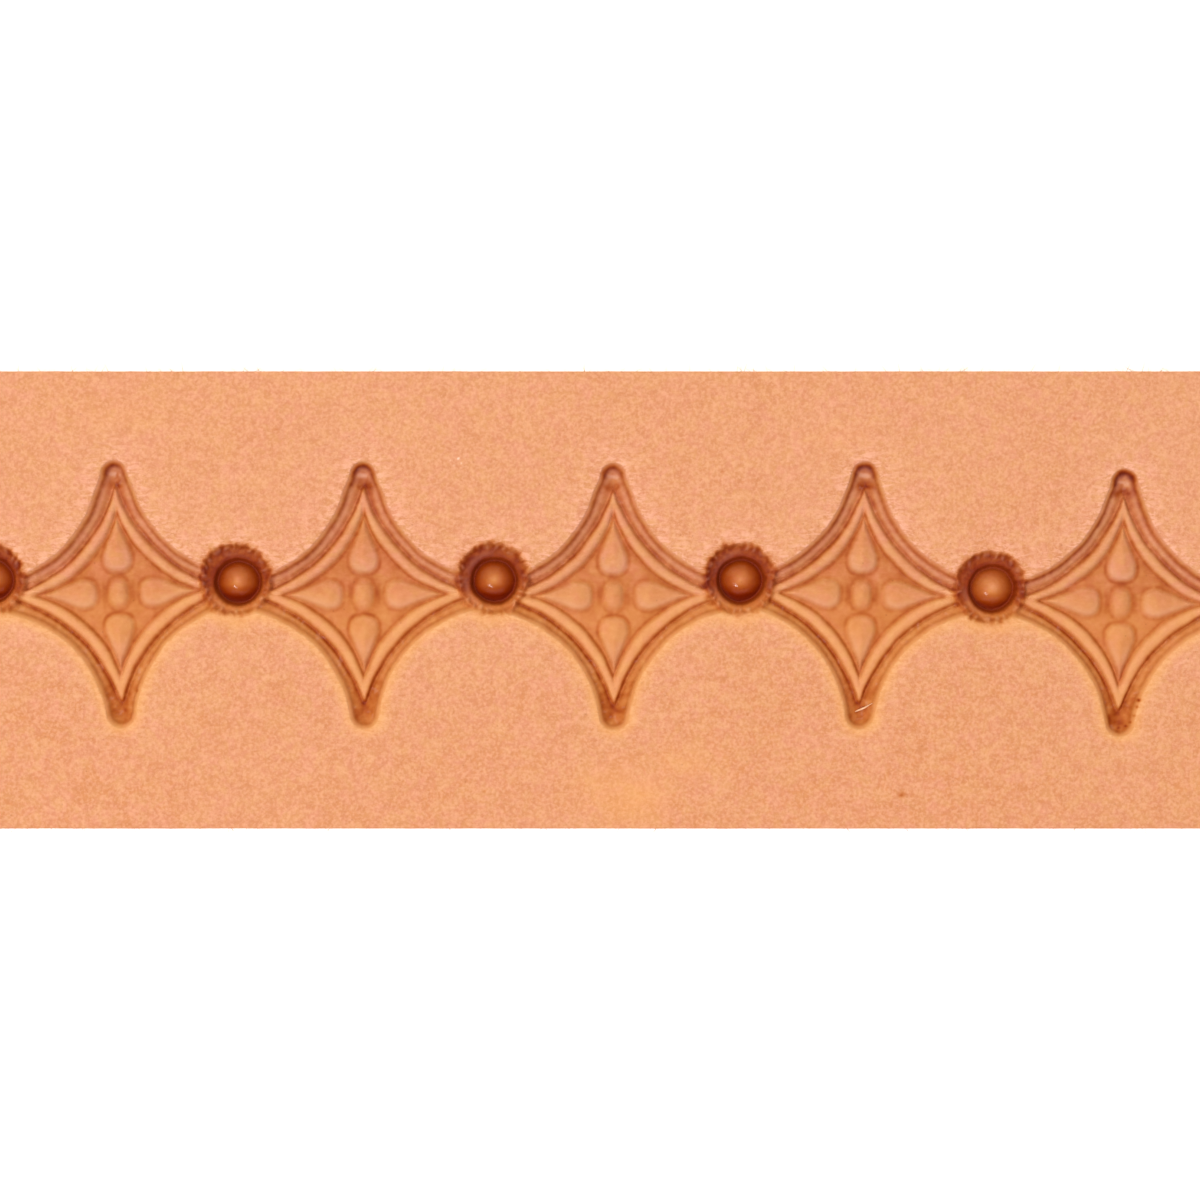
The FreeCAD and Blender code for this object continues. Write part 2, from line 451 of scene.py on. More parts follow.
    def raise_petals(self):
        """Four petals: an outline, a pale crown, and a painted gleam of light on the lower side."""
        px = self.px
        py = self.py
        patchy = 1.0 + 0.60 * fractal(self.x, self.y, 1.2, 97)
        self.gleam = np.zeros_like(self.x)
        # along, across, middle of the petal in Y, strength of its outline
        petals = [(px, py, 0.0, 0.62), (-px, py, 0.0, 0.62), (py, px, 3.2, 1.0), (-py, px, -3.2, 1.0)]
        for along, across, middle, outline in petals:
            petal = petal_distance(along, across)
            self.height += PETAL_STEP * rise(petal, -0.08, 0.40) + PETAL_CROWN * smooth(petal / 1.1)
            line = outline * bell(petal, *self.PETAL_LINE) * patchy
            round_end = smooth((4.6 - along) / 2.4)
            self.burnish_and_shade += (0.08 + 0.50 * round_end) * line
            self.burnish_and_shade -= 0.38 * rise(petal, -0.06, 0.34)
            low_side = smooth(0.45 - (py - middle) / 1.6)
            self.burnish_and_shade += 0.10 * rise(petal, 0.1, 0.4) * (1 - low_side)
            # painted highlight: a pinkish gleam along the lower side of each petal
            self.gleam = np.maximum(self.gleam, low_side * bell(petal, *self.PETAL_GLEAM))

    def raise_boss(self):
        """The small oval in the middle, dark at its two sides."""
        across = np.abs(self.px / BOSS_HALF_WIDTH) ** SQUARENESS
        radial = (across + np.abs(self.py / BOSS_HALF_HEIGHT) ** SQUARENESS) ** (1 / SQUARENESS)
        boss = (1.0 - radial) * BOSS_HALF_WIDTH
        self.height += PETAL_STEP * rise(boss, -0.08, 0.36) + PETAL_CROWN * smooth(boss / 0.8)
        place, width = self.BOSS_SIDE
        sides = np.exp(-((np.abs(self.px) - place) / width) ** 2 - (self.py / 0.78) ** 4)
        self.burnish_and_shade += 0.40 * bell(boss, *self.BOSS_LINE) + 0.62 * sides
        self.burnish_and_shade -= 0.30 * rise(boss, -0.06, 0.30)

    def darken_upper_tip(self):
        """The ring round the upper tip, painted darker on its left as shade, the painted highlight in it, and
        its dark mouth.
        """
        v = self.v
        upper_tip = self.upper_tip
        tip_top = upper_tip * rise(v, 8.2, 0.9) * self.rough * (1.0 - 0.30 * np.tanh(self.px / 0.5))
        self.burnish_and_shade += 0.86 * self.ring * tip_top * bell(self.inside[1], *self.TIP_RING)
        self.burnish_and_shade += 0.30 * upper_tip * rise(v, 7.9, 0.5) * smooth(self.inside[1] / 0.15)
        # painted highlight: a pale band across the tip's floor, lessening the burnish
        place, width = self.TIP_HIGHLIGHT
        painted_tip_highlight = np.exp(-((v - place + 0.10 * self.px) / width) ** 2 - (self.px / 0.50) ** 4)
        self.painted_tip_highlight = upper_tip * painted_tip_highlight * smooth(0.85 + 0.8 * fractal(self.x, self.y, 0.3, 94))
        self.burnish_and_shade -= 0.62 * min(self.ring, 1.25) * self.painted_tip_highlight
        self.mouth = self.spot(self.TIP_MOUTH, 4) * self.rough
        self.burnish_and_shade += (0.16 + 0.56 * self.ring) * upper_tip * self.mouth

    def darken_groove(self):
        """The groove between the lip and the raised border, painted darker as shade on the upper half and
        beside the border right of the upper tip.
        """
        inside = self.inside
        self.groove = smooth(inside[1] / 0.20) * (1 - rise(inside[FOOT_LEVEL], 0.05, 0.15))
        beside = bell(inside[FOOT_LEVEL], *self.BESIDE_BORDER) * smooth(self.px / 0.5 + 0.5)
        self.burnish_and_shade += 0.34 * beside * rise(self.py, 5.0, 2.0) * self.rough
        self.burnish_and_shade += 0.16 * self.groove * (1 - self.lower_half)

    def darken_lower_tip(self):
        strength = 0.8 + 0.2 * self.ring
        self.burnish_and_shade += 0.46 * rise(-self.py, 5.2, 2.2) * self.groove * strength * self.rough
        self.burnish_and_shade += 0.55 * self.lower_tip * self.spot(self.LOWER_TIP_SPOT)
        self.burnish_and_shade += 0.40 * self.lower_tip * self.spot(self.LOWER_FIELD_SPOT)
        self.height -= self.PIT_DEPTH * self.spot(self.TIP_PIT)

    def vary_burnish_and_shade(self):
        """Painted sheen along the groove, a border foot painted darker on the lower half as shade, fine
        unevenness, and a lower half a little paler.
        """
        x = self.x
        y = self.y
        self.sheen = smooth(0.5 + self.py / self.HALF_BLEND) * self.groove
        self.sheen = self.sheen * bell(self.inside[1], *self.GROOVE_SHEEN)
        # painted sheen: the upper groove is paler along its middle
        self.burnish_and_shade -= 0.14 * self.sheen
        # painted shade: the border's foot is darker on the lower half, and there on the left
        foot = bell(self.inside[FOOT_LEVEL], *self.BORDER_FOOT)
        self.burnish_and_shade *= 1.0 - 0.16 * np.tanh(self.py / 2.0) * foot
        self.burnish_and_shade *= 1.0 - 0.18 * np.tanh(self.px / 1.2) * self.lower_half * foot
        grit = 0.17 + 0.12 * self.groove
        self.burnish_and_shade *= 1.0 + 0.17 * fractal(x, y, 0.8, 57) + grit * fractal(x, y, 0.30, 58)
        self.burnish_and_shade *= 1.0 - 0.07 * self.lower_half

    def maps(self):
        """The star's height, burnish and finish, with painted shade, sheen and light among them, and how far
        away its lip is.
        """
        lower_half = self.lower_half
        outside = np.maximum(-self.inside[1], 0.0)
        touched = rise(self.inside[0], -0.02, 0.1)
        fade = np.exp(-outside / self.DIP_REACH)
        # painted sheen: pinkish flecks along the groove, a haze over its upper half, the tip's painted
        # highlight and the petals' gleam
        sheen_flecks = self.groove * rise(fractal(self.x, self.y, 0.34, 88), 0.55, 0.5)
        painted_groove_sheen = (0.24 * self.sheen + 0.12 * self.groove * (1 - lower_half)) * (1 - self.mouth)
        painted_sheen = np.maximum(np.maximum(painted_groove_sheen, 0.95 * self.painted_tip_highlight), 0.30 * self.gleam)
        return {
            "height": self.height * self.force - self.DIP * fade,
            "burnish_and_shade": np.maximum(self.burnish_and_shade, 0.0) * touched,
            "shine": (0.28 + 0.04 * rise(self.v, 8.1, 0.5)) * touched,
            # painted light: a yellow glow just outside the lower half of the outline
            "warmth_and_painted_light": lower_half * bell(outside, 0.30, 0.45),
            # crinkled grain round the star, real relief; its paleness is painted sheen, stronger on the upper
            # half
            "crinkle_and_sheen": (1 - 0.45 * lower_half) * fade * (1 - 0.85 * touched),
            "painted_sheen": np.maximum(painted_sheen, 0.36 * sheen_flecks) * touched,
            "near": -self.inside[0],
        }


class BerryStrike:
    """One strike of the berry stamp: a ring of beads round a bowl with a dome.

    dx and dy are places from the berry's middle, bowl_x and bowl_y from the
    middle of the bowl, which slid a little. A soft line is given as its radius
    and its half width.
    """

    RAGGED = ((0.10, 0.7, 23), (0.06, 0.34, 27))  # depth, cell and seed of the uneven ring
    BEAD_WIDTH = 0.17
    BLOTCHES = (2.28, 0.34)
    # painted light and shade on the ledge round the bowl: paler on the near side, darker on the far side
    LEDGE_PALE = (2.04, 0.12)
    LEDGE_DARK = (1.84, 0.20)
    # the painted sheen on the left of the ledge round the bowl
    LEDGE_SHEEN = (2.06, 0.22)
    BOWL_WOBBLE = 0.05
    DIP = 0.10  # how far the leather round the berry is drawn down
    DIP_REACH = 0.7

    def __init__(self, x, y, spot):
        cx, cy, turn, slip_x, slip_y, self.dark = spot
        self.x = x
        self.y = y
        self.dx = x - cx
        self.dy = y - cy
        ragged = sum(depth * fractal(x, y, cell, seed) for depth, cell, seed in self.RAGGED)
        self.centre_reach = np.hypot(self.dx, self.dy)
        self.radius = self.centre_reach + ragged
        self.upper = self.dy / np.maximum(self.centre_reach, 0.1)
        self.lower = rise(-self.upper, 0.15, 0.6)
        self.bowl_reach = np.hypot(self.dx - slip_x, self.dy - slip_y)
        self.bowl_x = self.dx - slip_x + self.BOWL_WOBBLE * fractal(x, y, 1.1, 61)
        self.bowl_y = self.dy - slip_y + self.BOWL_WOBBLE * fractal(x, y, 1.1, 71)
        self.press_ring(math.radians(turn))
        self.darken_ring()
        self.sink_bowl()

    def press_ring(self, turn):
        """The ledge under the beads and the beads; its burnish frays into spikes."""
        x = self.x
        y = self.y
        around = np.arctan2(self.dy, self.dx) - turn + 0.10 * fractal(x, y, 0.8, 29)
        wave = np.cos(BEAD_COUNT * around)
        spike = smooth(0.5 - 0.6 * wave) * smooth(0.6 + 0.9 * fractal(x, y, 0.5, 93))
        frayed = self.radius + 0.10 - 0.26 * spike
        self.height = np.zeros_like(x)
        self.burnish_and_shade = np.zeros_like(x)
        for outer, inner in zip(RING_LEVELS[:-1], RING_LEVELS[1:]):
            step = outer[0] - inner[0]
            self.height += np.clip((outer[0] - self.radius) / step, 0.0, 1.0) * (inner[1] - outer[1])
            self.burnish_and_shade += np.clip((outer[0] - frayed) / step, 0.0, 1.0) * (inner[2] - outer[2])
        self.bead = bell(self.radius, BEAD_CIRCLE, self.BEAD_WIDTH) * smooth(0.4 + 0.75 * wave)
        self.bead = self.bead * smooth(0.62 + 0.9 * fractal(x, y, 0.7, 25))
        self.height += BEAD_RISE * self.bead

    def darken_ring(self):
        """Darker in blotches, towards the left and at the sides; darker towards the far side as painted shade
        and paler on the near side as painted light.
        """
        x = self.x
        y = self.y
        sideways = self.dx / np.maximum(self.centre_reach, 0.1)
        self.burnish_and_shade *= 1.20 - 0.10 * self.dx / 2.5 + 0.18 * fractal(x, y, 0.9, 91)
        self.burnish_and_shade *= 1.0 + 0.20 * sideways ** 2
        blotch = smooth(0.40 + 1.2 * fractal(x, y, 0.42, 95))
        self.burnish_and_shade += 0.66 * blotch * (1 - self.lower) * bell(self.radius, *self.BLOTCHES)
        self.burnish_and_shade *= 1.0 - 0.32 * self.lower
        self.burnish_and_shade -= 0.42 * self.bead
        self.burnish_and_shade -= 0.40 * self.lower * bell(self.bowl_reach, *self.LEDGE_PALE)
        self.burnish_and_shade += 0.55 * rise(self.upper, 0.1, 0.6) * bell(self.bowl_reach, *self.LEDGE_DARK)

    def sink_bowl(self):
        """The bowl and the dome that stands in it, dark at the dome's foot; the dome is painted darker away
        from its lit spot and on its lower side, as shade.
        """
        bowl_y = self.bowl_y
        self.sunk = smooth((BOWL_RADIUS - np.hypot(self.bowl_x, bowl_y)) / BOWL_WALL)
        self.height = self.height * (1 - self.sunk) - BOWL_DEPTH * self.sunk
        self.reach = np.hypot(self.bowl_x, bowl_y - DOME_SLIP)
        lift = BOWL_DEPTH - DOME_TOP
        ball = (DOME_RADIUS ** 2 + lift ** 2) / (2 * lift)
        cap = np.sqrt(np.maximum(ball ** 2 - self.reach ** 2, 0.0)) - (ball - lift)
        self.height += np.maximum(cap, 0.0) * self.sunk
        # painted shade: the dome darkens away from its lit spot, a little up and left of its middle, and more
        # on its lower side
        lit = np.hypot(self.bowl_x + 0.05, bowl_y - 0.12)
        dome_burnish_and_shade = 0.16 + 1.95 * lit / DOME_RADIUS + 0.80 * rise(self.reach / DOME_RADIUS, 0.84, 0.20)
        dome_burnish_and_shade += 0.30 * rise(-bowl_y, 0.10, 0.50) + 0.70 * rise(-bowl_y, 0.66, 0.50)
        dome_burnish_and_shade = self.dark * dome_burnish_and_shade + max(0.0, 1.5 * (self.dark - 1.0))
        share = smooth((DOME_RADIUS + 0.06 - self.reach) / 0.20)
        inner = dome_burnish_and_shade * share + BOWL_BURN * (1 - share)
        self.burnish_and_shade = self.burnish_and_shade * (1 - self.sunk) + inner * self.sunk

    def maps(self):
        """The berry's height, burnish and finish, with painted shade, sheen and light among them, and how
        strongly it replaces the star.
        """
        outside = np.maximum(self.radius - RING_EDGE, 0.0)
        # painted sheen: a pinkish band on the left of the ledge, and painted highlights on the beads
        painted_sheen = 0.20 * bell(self.bowl_reach, *self.LEDGE_SHEEN) * smooth(0.5 - self.dx / 1.5)
        painted_sheen = painted_sheen * smooth(0.6 + 0.8 * fractal(self.x, self.y, 0.6, 96))
        return {
            "height": self.height - BERRY_SINK,
            "dip": -self.DIP * np.exp(-outside / self.DIP_REACH),
            "weight": smooth((RING_EDGE + 0.16 - self.radius) / 0.40),
            "burnish_and_shade": np.maximum(self.burnish_and_shade, 0.0) * smooth((RING_EDGE + 0.60 - self.radius) / 0.80),
            "shine": 0.10 + 0.90 * smooth((1.45 - self.reach) / 0.25),
            # painted light: a yellow glow just outside the near side of the ring
            "warmth_and_painted_light": self.lower * bell(outside, 0.40, 0.50),
            # crinkled grain round the far side of the ring, real relief with a paleness of painted sheen
            "crinkle_and_sheen": np.exp(-outside / 0.9) * (1 - self.lower),
            "painted_sheen": np.maximum(painted_sheen, 0.26 * self.bead) * (1 - self.sunk),
            "near": self.radius - RING_EDGE,
        }


def raise_to(target, part, values):
    target[part] = np.maximum(target[part], values)


def strike_star(maps, part, star):
    """Adds one star's window to the maps of the whole strip."""
    maps["height"][part] += star["height"]
    maps["burnish_and_shade"][part] += star["burnish_and_shade"]
    for name in ("shine", "warmth_and_painted_light", "painted_sheen", "crinkle_and_sheen"):
        raise_to(maps[name], part, star[name])
    maps["near"][part] = np.minimum(maps["near"][part], star["near"])


def strike_berry(maps, part, berry):
    """Lets one berry's window take the place of what the stars left there."""
    weight = berry["weight"]
    kept = 1 - weight
    maps["height"][part] = (maps["height"][part] + berry["dip"]) * kept + berry["height"] * weight
    maps["burnish_and_shade"][part] = maps["burnish_and_shade"][part] * kept + berry["burnish_and_shade"]
    for name in ("shine", "painted_sheen"):
        maps[name][part] = maps[name][part] * kept + berry[name] * weight
    maps["near"][part] = np.minimum(maps["near"][part], berry["near"])
    raise_to(maps["crinkle_and_sheen"], part, berry["crinkle_and_sheen"])
    maps["crinkle_and_sheen"][part] *= 1 - 0.85 * weight
    raise_to(maps["warmth_and_painted_light"], part, berry["warmth_and_painted_light"])


def add_marks(maps, x, y):
    """Stains, warm patches and scuffs on the plain leather."""
    for sx, sy, wide, tall, depth in STAINS:
        spread = bell(x, sx, wide) * bell(y, sy, tall)
        maps["burnish_and_shade"] += depth * spread * (1.0 + 0.5 * fractal(x, y, 1.4, 83))
        if wide < SPECK_SIZE:
            maps["near"] = np.minimum(maps["near"], np.hypot(x - sx, y - sy) - 0.4)
    for sx, sy, wide, tall, depth in WARM_PATCHES:
        spread = bell(x, sx, wide) * bell(y, sy, tall)
        warmth = depth * spread * (1.0 + 0.4 * fractal(x, y, 1.8, 84))
        maps["warmth_and_painted_light"] = np.maximum(maps["warmth_and_painted_light"], warmth)
    for sx, sy, radius in SCUFFS:
        ragged = radius * (1.0 + 0.5 * fractal(x, y, 0.3, 87))
        away = np.hypot(x - sx, y - sy)
        maps["scuff"] = np.maximum(maps["scuff"], smooth(1.5 - away / ragged))
        maps["near"] = np.minimum(maps["near"], away - 0.3)


def height_map():
    """Maps over the whole strip, and the places of their columns and rows.

    height is in millimetres over plain grain; the maps of burnish, crinkle, warm
    patches, sheen, shine and scuff drive the material, and they carry painted shade
    (in the burnish), painted sheen (in the crinkle and sheen maps) and painted light
    (with the warm patches); near is the distance to the nearest mark.
    """
    xs = np.arange(-HALF_LENGTH, HALF_LENGTH + MAP_STEP / 2, MAP_STEP)
    ys = np.arange(-HALF_WIDTH, HALF_WIDTH + MAP_STEP / 2, MAP_STEP)
    x, y = np.meshgrid(xs, ys)
    maps = {name: np.zeros_like(x) for name in ("burnish_and_shade", *FINISH_AND_LIGHT_MAPS)}
    maps["height"] = 0.022 * fractal(x, y, 9.0, 3) + 0.006 * fractal(x, y, 2.2, 5)
    maps["near"] = np.full_like(x, FAR)

    def window(spot, reach):
        columns = np.abs(xs - spot[0]) < reach
        rows = np.abs(ys - spot[1]) < reach
        return np.ix_(rows, columns)

    for spot in STARS:
        part = window(spot, STAR_REACH)
        strike_star(maps, part, StarStrike(x[part], y[part], spot).maps())
    for spot in BERRIES:
        part = window(spot, BERRY_REACH)
        strike_berry(maps, part, BerryStrike(x[part], y[part], spot).maps())
    add_marks(maps, x, y)
    maps["height"] = blurred(maps["height"], 0.9)
    maps["burnish_and_shade"] = blurred(np.maximum(maps["burnish_and_shade"], 0.0), 0.7)
    maps["xs"] = xs
    maps["ys"] = ys
    return maps


def sampled(maps, name, x, y):
    """Values of one map at points, between its steps."""
    field = maps[name]
    u = np.clip((x - maps["xs"][0]) / MAP_STEP, 0, field.shape[1] - 1.001)
    v = np.clip((y - maps["ys"][0]) / MAP_STEP, 0, field.shape[0] - 1.001)
    column = u.astype(int)
    row = v.astype(int)
    s = u - column
    t = v - row
    low = field[row, column] * (1 - s) + field[row, column + 1] * s
    high = field[row + 1, column] * (1 - s) + field[row + 1, column + 1] * s
    return low * (1 - t) + high * t


# ==== Meshes ====
def add_mesh(name, points, faces):
    """A smooth shaded mesh object from points in millimetres."""
    mesh = bpy.data.meshes.new(name)
    mesh.from_pydata((np.asarray(points) * MM).tolist(), [], faces)
    mesh.polygons.foreach_set("use_smooth", [True] * len(mesh.polygons))
    mesh.update()
    obj = bpy.data.objects.new(name, mesh)
    bpy.context.scene.collection.objects.link(obj)
    return obj


def lattice(columns, rows, fine, flagged):
    """Faces over a lattice of cells, each flagged cell split fine by fine.

    A plain cell beside a split one takes the extra points of the side they share,
    so the surface has no cracks. Returns the faces by lattice index, and which
    lattice points are used.
    """
    wide = columns * fine + 1
    tall = rows * fine + 1
    used = np.zeros((tall, wide), bool)
    used[::fine, ::fine] = True
    split = np.kron(flagged, np.ones((fine, fine), bool))
    for down in (0, 1):
        for across in (0, 1):
            used[down:tall - 1 + down, across:wide - 1 + across] |= split
    index = np.arange(tall * wide).reshape(tall, wide)
    corners = [index[:-1, :-1], index[:-1, 1:], index[1:, 1:], index[1:, :-1]]
    faces = np.stack([corner[split] for corner in corners], -1).tolist()
    for row, column in zip(*np.nonzero(~flagged)):
        bottom = row * fine
        left = column * fine
        upper = bottom + fine
        right = left + fine
        walk = [(bottom, left + k) for k in range(fine)]
        walk += [(bottom + k, right) for k in range(fine)]
        walk += [(upper, right - k) for k in range(fine)]
        walk += [(upper - k, left) for k in range(fine)]
        faces.append([index[spot] for spot in walk if used[spot]])
    return faces, used


def rim_of(columns, rows, fine, used):
    """Lattice indices round the outside, counterclockwise from above."""
    wide = columns * fine + 1
    tall = rows * fine + 1
    walk = [(0, k) for k in range(wide - 1)]
    walk += [(k, wide - 1) for k in range(tall - 1)]
    walk += [(tall - 1, wide - 1 - k) for k in range(wide - 1)]
    walk += [(tall - 1 - k, 0) for k in range(tall - 1)]
    return [row * wide + column for row, column in walk if used[row, column]]


def edge_roughness(along, z):
    """How far the cut fibres stand back from the cut, in millimetres."""
    fibres = fractal(along, z, 0.9, 31) * 0.5 + noise(along, z, 0.4, 38) * 0.5
    return 0.022 * (fibres - 1.0)


def slab(name, profile, face_height, flagged, upwards):
    """A closed slab: a lattice face, a skirt down the cut edge, and a flat cap.

    profile lists (inset, z) from the face's rim to the cap's rim. Returns the
    object and each point's place: x, y, and how far it is down the skirt, 0 to 1.
    """
    rows, columns = flagged.shape
    fine = FINE if flagged.any() else 1
    faces, used = lattice(columns, rows, fine, flagged)
    grid_x, grid_y = np.meshgrid(
        np.linspace(-REACH_X, REACH_X, columns * fine + 1),
        np.linspace(-REACH_Y, REACH_Y, rows * fine + 1),
    )
    chosen = used.ravel()
    renumber = np.cumsum(chosen) - 1
    x = grid_x.ravel()[chosen]
    y = grid_y.ravel()[chosen]
    z = face_height(x, y)
    faces = [[int(renumber[i]) for i in face] for face in faces]
    rim = renumber[rim_of(columns, rows, fine, used)]
    out_x = (np.abs(x[rim]) > REACH_X - 1e-6) * np.sign(x[rim])
    out_y = (np.abs(y[rim]) > REACH_Y - 1e-6) * np.sign(y[rim])
    along = np.where(out_x != 0, y[rim] + 200 * out_x, x[rim] + 400 * out_y)
    points = [np.stack([x, y, z], -1)]
    places = [np.stack([x, y, np.zeros(len(x))], -1)]
    upper = rim
    for step, (inset, level) in enumerate(profile[1:], 1):
        settle = 1.0 - step / (len(profile) - 1)
        ring_z = level + (z[rim] - profile[0][1]) * settle
        out = EDGE_INSET - inset + edge_roughness(along, ring_z) * smooth((step - 1) / 4)
        ring_x = x[rim] + out_x * out
        ring_y = y[rim] + out_y * out
        points.append(np.stack([ring_x, ring_y, ring_z], -1))
        cut = min(max(step - 3, 0) / 2, 1.0)
        places.append(np.stack([ring_x, ring_y, np.full(len(rim), cut)], -1))
        lower = len(x) + (step - 1) * len(rim) + np.arange(len(rim))
        quads = [lower, np.roll(lower, -1), np.roll(upper, -1), upper]
        faces += np.stack(quads, -1).tolist()
        upper = lower
    faces.append(upper[::-1].tolist())
    if not upwards:
        faces = [face[::-1] for face in faces]
    return add_mesh(name, np.concatenate(points), faces), np.concatenate(places)


def edge_profile(start, end, rounding):
    """(inset, z) pairs: a rounded corner at start, then straight to end."""
    direction = math.copysign(1.0, end - start)
    pairs = []
    for step in range(5):
        angle = math.radians(90 * step / 4)
        drop = rounding * (1 - math.cos(angle))
        pairs.append((EDGE_INSET * (1 - math.sin(angle)), start + direction * drop))
    first = pairs[-1][1]
    for step in range(1, EDGE_STEPS + 1):
        pairs.append((0.0, first + (end - first) * step / EDGE_STEPS))
    pairs.insert(-1, (0.0, end - direction * SEAM_STEP))
    return pairs


def cells():
    """How many plain cells the strip has across and along."""
    rows = int(round(2 * REACH_Y / CELL))
    columns = int(round(2 * REACH_X / CELL))
    return rows, columns


def set_values(obj, name, values):
    layer = obj.data.attributes.new(name, "FLOAT", "POINT")
    layer.data.foreach_set("value", np.asarray(values, np.float32))


def make_grain(maps):
    """The stamped grain side, from the height map, with its cut edge."""
    rows, columns = cells()
    centre_x = np.linspace(-REACH_X, REACH_X, 2 * columns + 1)[1::2]
    centre_y = np.linspace(-REACH_Y, REACH_Y, 2 * rows + 1)[1::2]
    x, y = np.meshgrid(centre_x, centre_y)
    flagged = sampled(maps, "near", x, y) < FINE_MARGIN

    def face_height(x, y):
        return TOP + sampled(maps, "height", x, y) - GRAIN_DROP

    profile = edge_profile(TOP - GRAIN_DROP, SPLIT, GRAIN_ROUNDING)
    obj, places = slab("tooled_grain", profile, face_height, flagged, True)
    face = 1.0 - places[:, 2]
    set_values(obj, "burnish_and_shade", sampled(maps, "burnish_and_shade", places[:, 0], places[:, 1]) * face)
    for name in FINISH_AND_LIGHT_MAPS:
        set_values(obj, name, sampled(maps, name, places[:, 0], places[:, 1]) * face)
    set_values(obj, "cut", places[:, 2])
    return obj


def make_back():
    """The fibrous flesh side, rough underneath, with its cut edge."""
    rows, columns = cells()

    def face_height(x, y):
        nap = 0.5 + 0.5 * fractal(x, y, 1.3, 41) / 1.75
        return BACK_NAP * nap

    profile = edge_profile(BACK_NAP, SPLIT, BACK_ROUNDING)
    plain = np.zeros((rows, columns), bool)
    obj, places = slab("suede_back", profile, face_height, plain, False)
    set_values(obj, "cut", places[:, 2])
    return obj


def tube(points, radii, sides=6):
    """Points and faces of a tapered tube with closed ends along a list of points."""
    points = np.asarray(points, float)
    rings = []
    for index, centre in enumerate(points):
        before = points[max(index - 1, 0)]
        after = points[min(index + 1, len(points) - 1)]
        ahead = Vector(after - before).normalized()
        side = ahead.cross(Vector((0.0, 0.0, 1.0)))
        if side.length < 1e-3:
            side = Vector((1.0, 0.0, 0.0))
        side.normalize()
        rise = side.cross(ahead)
        for corner in range(sides):
            turn = 2 * math.pi * corner / sides
            offset = side * math.cos(turn) + rise * math.sin(turn)
            rings.append(centre + radii[index] * np.array(offset))
    faces = [list(range(sides))[::-1]]
    for ring in range(len(points) - 1):
        for corner in range(sides):
            a = ring * sides + corner
            b = ring * sides + (corner + 1) % sides
            faces.append([a, b, b + sides, a + sides])
    faces.append([(len(points) - 1) * sides + corner for corner in range(sides)])
    return rings, faces


def make_stray_fibre(maps):
    """A pale fibre across the lower tip of the fourth star, resting on its two ends."""
    start = np.array(STRAY_START)
    end = np.array(STRAY_END)
    first, last = [sampled(maps, "height", spot[:1], spot[1:])[0] for spot in (start, end)]
    points = []
    radii = []
    for step in range(13):
        share = step / 12
        spot = start + (end - start) * share
        spot = spot + np.array([0.35, -0.55]) * 0.06 * math.sin(math.pi * share) ** 2
        radius = 0.030 + 0.042 * math.sin(math.pi * min(share * 1.3, 1.0))
        ground = TOP - GRAIN_DROP + first + (last - first) * share
        points.append([spot[0], spot[1], ground + 0.5 * radius])
        radii.append(radius)
    rings, faces = tube(points, radii, 8)
    return add_mesh("stray_fibre", rings, faces)


def make_nap():
    """Short loose fibres that stand out of the cut edges and the back's rim."""
    rng = np.random.default_rng(77)
    points = []
    faces = []
    for _ in range(NAP_FIBRES):
        side = rng.integers(0, 4)
        share = rng.uniform(-1, 1)
        if side < 2:
            root = np.array([share * REACH_X, (2 * side - 1) * HALF_WIDTH])
            outwards = np.array([0.0, 2 * side - 1])
        else:
            root = np.array([(2 * side - 5) * HALF_LENGTH, share * REACH_Y])
            outwards = np.array([2 * side - 5, 0.0])
        level = 0.25 + (TOP - 0.9) * rng.uniform(0, 1) ** 2
        sideways = np.array([outwards[1], outwards[0]]) * rng.uniform(-1.4, 1.4)
        heading = outwards * rng.uniform(0.2, 1.0) + sideways
        heading = heading / np.linalg.norm(heading)
        length = rng.uniform(0.25, 0.95)
        sag = rng.uniform(-0.25, 0.12) * length
        line = []
        radii = []
        for step in range(5):
            t = step / 4
            spot = root - outwards * NAP_ROOT + heading * length * t
            line.append([spot[0], spot[1], max(level + sag * t * t, 0.04)])
            radii.append(NAP_RADIUS * (1 - 0.7 * t))
        rings, tube_faces = tube(line, radii, 4)
        faces += [[corner + len(points) for corner in face] for face in tube_faces]
        points += rings
    return add_mesh("nap_fibres", points, faces)


